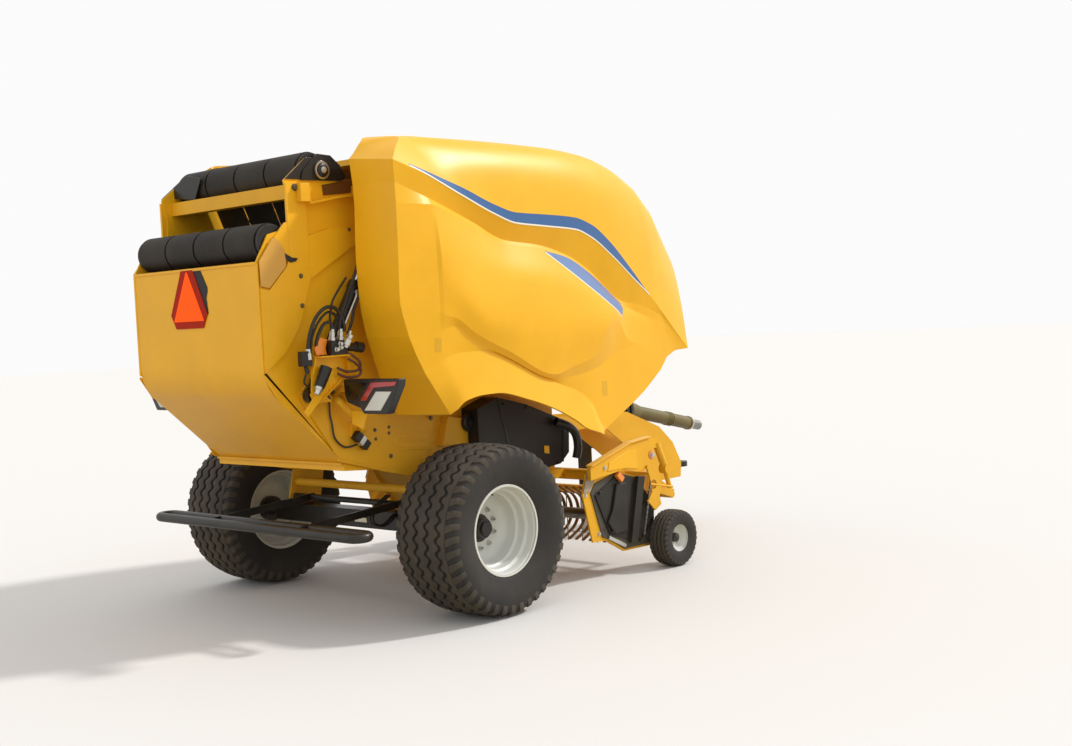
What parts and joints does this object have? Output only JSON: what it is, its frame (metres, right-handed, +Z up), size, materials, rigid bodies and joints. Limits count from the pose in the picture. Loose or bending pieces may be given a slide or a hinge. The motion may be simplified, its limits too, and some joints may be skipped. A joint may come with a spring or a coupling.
{
  "type": "variable-chamber round baler",
  "caption": "Towed round baler: belt chamber with a lifting tailgate, gull-wing side shields, tined pickup, drawbar with hitch eye and drive shaft, on two wide tyres and a jack.",
  "frame": {"origin": "on the ground under the middle of the whole machine's box", "axes": "+X forwards to the hitch, +Y to the left, +Z up"},
  "size_m": [5.1546, 2.719, 2.979],
  "materials": {
    "yellow_paint": "gloss enamel",
    "black_paint": "satin enamel",
    "black_plastic": "moulded",
    "guard_plastic": "weathered",
    "tyre_rubber": "dusty",
    "gauge_tyre": "dusty",
    "rim_paint": "satin enamel",
    "belt_rubber": "worn",
    "bare_steel": "worn",
    "signal_sheet": "reflective"
  },
  "bodies": {
    "frame": {"main_frame": "yellow_paint", "roof_cover": "yellow_paint", "net_box": "yellow_paint", "drawbar": "yellow_paint", "hitch_eye": "black_paint", "gearbox": "black_paint", "pto_guard": "guard_plastic", "axle_beam": "black_paint", "feeder_covers": "black_plastic", "feeder_floor": "yellow_paint", "front_rollers": "black_paint", "front_belts": "belt_rubber", "tail_lamps": "black_plastic", "lamp_brackets": "yellow_paint", "jack_sleeve": "black_paint", "valve_block": "black_paint"},
    "tailgate": {"tailgate_shell": "yellow_paint", "tailgate_beam": "yellow_paint", "tailgate_rollers": "black_paint", "tailgate_belts": "belt_rubber", "warning_triangle": "signal_sheet"},
    "net_lid": {"net_box_lid": "yellow_paint"},
    "shield_left": {"shield_left": "yellow_paint", "shield_arms_left": "yellow_paint"},
    "shield_right": {"shield_right": "yellow_paint", "shield_arms_right": "yellow_paint"},
    "cylinder_left": {"barrel_left": "black_paint"},
    "cylinder_right": {"barrel_right": "black_paint"},
    "piston_left": {"rod_left": "bare_steel"},
    "piston_right": {"rod_right": "bare_steel"},
    "wheel_left": {"rim_left": "rim_paint", "tyre_left": "tyre_rubber"},
    "wheel_right": {"rim_right": "rim_paint", "tyre_right": "tyre_rubber"},
    "rotor": {"feeder_rotor": "bare_steel"},
    "drive_shaft": {"pto_shaft": "bare_steel"},
    "pickup": {"pickup_frame": "yellow_paint", "pickup_covers": "black_plastic"},
    "reel": {"pickup_reel": "bare_steel"},
    "windguard": {"windguard": "yellow_paint"},
    "gauge_left": {"gauge_wheel_left": "gauge_tyre"},
    "gauge_right": {"gauge_wheel_right": "gauge_tyre"},
    "ramp": {"bale_ramp": "black_paint"},
    "jack": {"jack_leg": "bare_steel"}
  },
  "joints": [
    {"name": "tailgate_lift", "type": "hinge", "parent": "frame", "child": "tailgate", "pos_m": [-1.22931, 0, 2.62], "axis": [0, 1, 0], "range_deg": [0, 60]},
    {"name": "cylinder_left_swing", "type": "hinge", "parent": "frame", "child": "cylinder_left", "pos_m": [-2.29431, 0.718, 1.43], "axis": [0, -1, 0], "range_deg": [0, 4]},
    {"name": "piston_left_slide", "type": "slide", "parent": "cylinder_left", "child": "piston_left", "axis": [0.5105, 0, 0.8599], "range_m": [0, 0.39]},
    {"name": "cylinder_right_swing", "type": "hinge", "parent": "frame", "child": "cylinder_right", "pos_m": [-2.29431, -0.718, 1.43], "axis": [0, -1, 0], "range_deg": [0, 4]},
    {"name": "piston_right_slide", "type": "slide", "parent": "cylinder_right", "child": "piston_right", "axis": [0.5105, 0, 0.8599], "range_m": [0, 0.39]},
    {"name": "shield_left_lift", "type": "hinge", "parent": "frame", "child": "shield_left", "pos_m": [-0.82931, 0.778, 2.971], "axis": [1, 0, 0], "range_deg": [0, 60]},
    {"name": "shield_right_lift", "type": "hinge", "parent": "frame", "child": "shield_right", "pos_m": [-0.82931, -0.778, 2.971], "axis": [-1, 0, 0], "range_deg": [0, 60]},
    {"name": "net_lid_lift", "type": "hinge", "parent": "frame", "child": "net_lid", "pos_m": [0.81669, 0, 2.046], "axis": [0, -1, 0], "range_deg": [0, 80]},
    {"name": "wheel_left_spin", "type": "hinge", "parent": "frame", "child": "wheel_left", "pos_m": [-1.32931, 1.1065, 0.529], "axis": [0, 1, 0], "continuous": true},
    {"name": "wheel_right_spin", "type": "hinge", "parent": "frame", "child": "wheel_right", "pos_m": [-1.32931, -1.1065, 0.529], "axis": [0, 1, 0], "continuous": true},
    {"name": "rotor_spin", "type": "hinge", "parent": "frame", "child": "rotor", "pos_m": [-0.23931, 0, 0.59], "axis": [0, 1, 0], "continuous": true},
    {"name": "shaft_spin", "type": "hinge", "parent": "frame", "child": "drive_shaft", "pos_m": [1.63069, 0, 0.985], "axis": [0.9767, 0, -0.2147], "continuous": true},
    {"name": "pickup_lift", "type": "hinge", "parent": "frame", "child": "pickup", "pos_m": [-0.27931, 0, 0.72], "axis": [0, -1, 0], "range_deg": [0, 14]},
    {"name": "reel_spin", "type": "hinge", "parent": "pickup", "child": "reel", "pos_m": [0.19069, 0, 0.372], "axis": [0, 1, 0], "continuous": true},
    {"name": "windguard_lift", "type": "hinge", "parent": "pickup", "child": "windguard", "pos_m": [0.23069, 0, 0.62], "axis": [0, -1, 0], "range_deg": [0, 12]},
    {"name": "gauge_left_spin", "type": "hinge", "parent": "pickup", "child": "gauge_left", "pos_m": [0.46069, 1.235, 0.2], "axis": [0, 1, 0], "continuous": true},
    {"name": "gauge_right_spin", "type": "hinge", "parent": "pickup", "child": "gauge_right", "pos_m": [0.46069, -1.235, 0.2], "axis": [0, 1, 0], "continuous": true},
    {"name": "ramp_tilt", "type": "hinge", "parent": "frame", "child": "ramp", "pos_m": [-1.41931, 0, 0.655], "axis": [0, -1, 0], "range_deg": [0, 25]},
    {"name": "jack_slide", "type": "slide", "parent": "frame", "child": "jack", "axis": [0, 0, 1], "range_m": [0, 0.3]}
  ],
  "couplings": [
    {"joint": "cylinder_left_swing", "follows": "tailgate_lift", "ratio": 0.0646},
    {"joint": "piston_left_slide", "follows": "tailgate_lift", "m_per_rad": 0.3712},
    {"joint": "cylinder_right_swing", "follows": "tailgate_lift", "ratio": 0.0646},
    {"joint": "piston_right_slide", "follows": "tailgate_lift", "m_per_rad": 0.3712}
  ]
}
